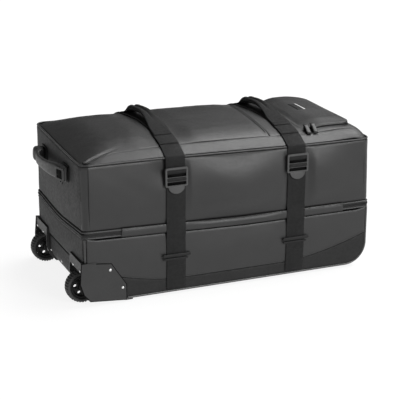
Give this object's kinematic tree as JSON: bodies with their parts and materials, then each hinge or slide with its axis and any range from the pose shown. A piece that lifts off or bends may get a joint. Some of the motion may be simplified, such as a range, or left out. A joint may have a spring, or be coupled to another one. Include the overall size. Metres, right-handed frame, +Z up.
{
  "type": "wheeled tennis bag",
  "caption": "Large charcoal wheeled tennis bag with a zipped upper half, webbing straps with buckles, carry handles, a padded end handle and moulded wheel housings.",
  "frame": {"origin": "on the floor, under the middle of the whole bag's box, with the base and both tyres on z = 0", "axes": "+X from the wheel end to the far end, +Y from the front face to the back, +Z up"},
  "size_m": [0.8486, 0.4326, 0.4329],
  "materials": {
    "shell_cloth": "satin",
    "base_cloth": "matte",
    "zip_trim": "matte",
    "flap_cloth": "satin",
    "webbing": "matte",
    "buckle_plastic": "satin",
    "housing_plastic": "textured",
    "axle_steel": "satin",
    "tyre_rubber": "matte",
    "hub_plastic": "satin"
  },
  "bodies": {
    "bag": {"upper_front_panel": "shell_cloth", "upper_back_panel": "shell_cloth", "upper_wheel_end_panel": "shell_cloth", "upper_far_end_panel": "shell_cloth", "lower_front_panel": "shell_cloth", "lower_back_panel": "shell_cloth", "lower_wheel_end_panel": "shell_cloth", "lower_far_end_panel": "shell_cloth", "top_front_strip": "shell_cloth", "top_main_panel": "shell_cloth", "top_far_panel": "shell_cloth", "top_pocket": "shell_cloth", "front_base_panel": "base_cloth", "back_base_panel": "base_cloth", "base_panel": "base_cloth", "zip_band_front": "zip_trim", "zip_band_back": "zip_trim", "zip_band_wheel_end": "zip_trim", "zip_band_far_end": "zip_trim", "front_corner_piping": "zip_trim", "back_corner_piping": "zip_trim", "front_edge_piping": "zip_trim", "back_edge_piping": "zip_trim", "top_piping": "zip_trim", "pocket_label": "zip_trim", "front_zip_flap": "flap_cloth", "strap_anchor_1": "webbing", "strap_lower_1": "webbing", "strap_upper_1": "webbing", "carry_handle_1": "webbing", "strap_back_1": "webbing", "strap_anchor_2": "webbing", "strap_lower_2": "webbing", "strap_upper_2": "webbing", "carry_handle_2": "webbing", "strap_back_2": "webbing", "end_handle_patch_back": "webbing", "end_handle_patch_front": "webbing", "end_handle": "webbing", "end_handle_tab": "webbing", "buckle_1": "buckle_plastic", "slider_1": "buckle_plastic", "buckle_2": "buckle_plastic", "slider_2": "buckle_plastic", "pocket_pull_left": "buckle_plastic", "pocket_pull_right": "buckle_plastic", "wheel_housing_front": "housing_plastic", "wheel_housing_back": "housing_plastic", "base_foot_wheel_end_front": "housing_plastic", "base_foot_wheel_end_back": "housing_plastic", "base_foot_far_end_front": "housing_plastic", "base_foot_far_end_back": "housing_plastic", "axle_front": "axle_steel", "axle_back": "axle_steel"},
    "wheel_front": {"tyre_front": "tyre_rubber", "hub_front": "hub_plastic"},
    "wheel_back": {"tyre_back": "tyre_rubber", "hub_back": "hub_plastic"}
  },
  "joints": [
    {"name": "wheel_front_spin", "type": "hinge", "parent": "bag", "child": "wheel_front", "pos_m": [-0.37664, -0.15937, 0.042], "axis": [0, 1, 0], "continuous": true},
    {"name": "wheel_back_spin", "type": "hinge", "parent": "bag", "child": "wheel_back", "pos_m": [-0.37664, 0.16463, 0.042], "axis": [0, 1, 0], "continuous": true}
  ]
}
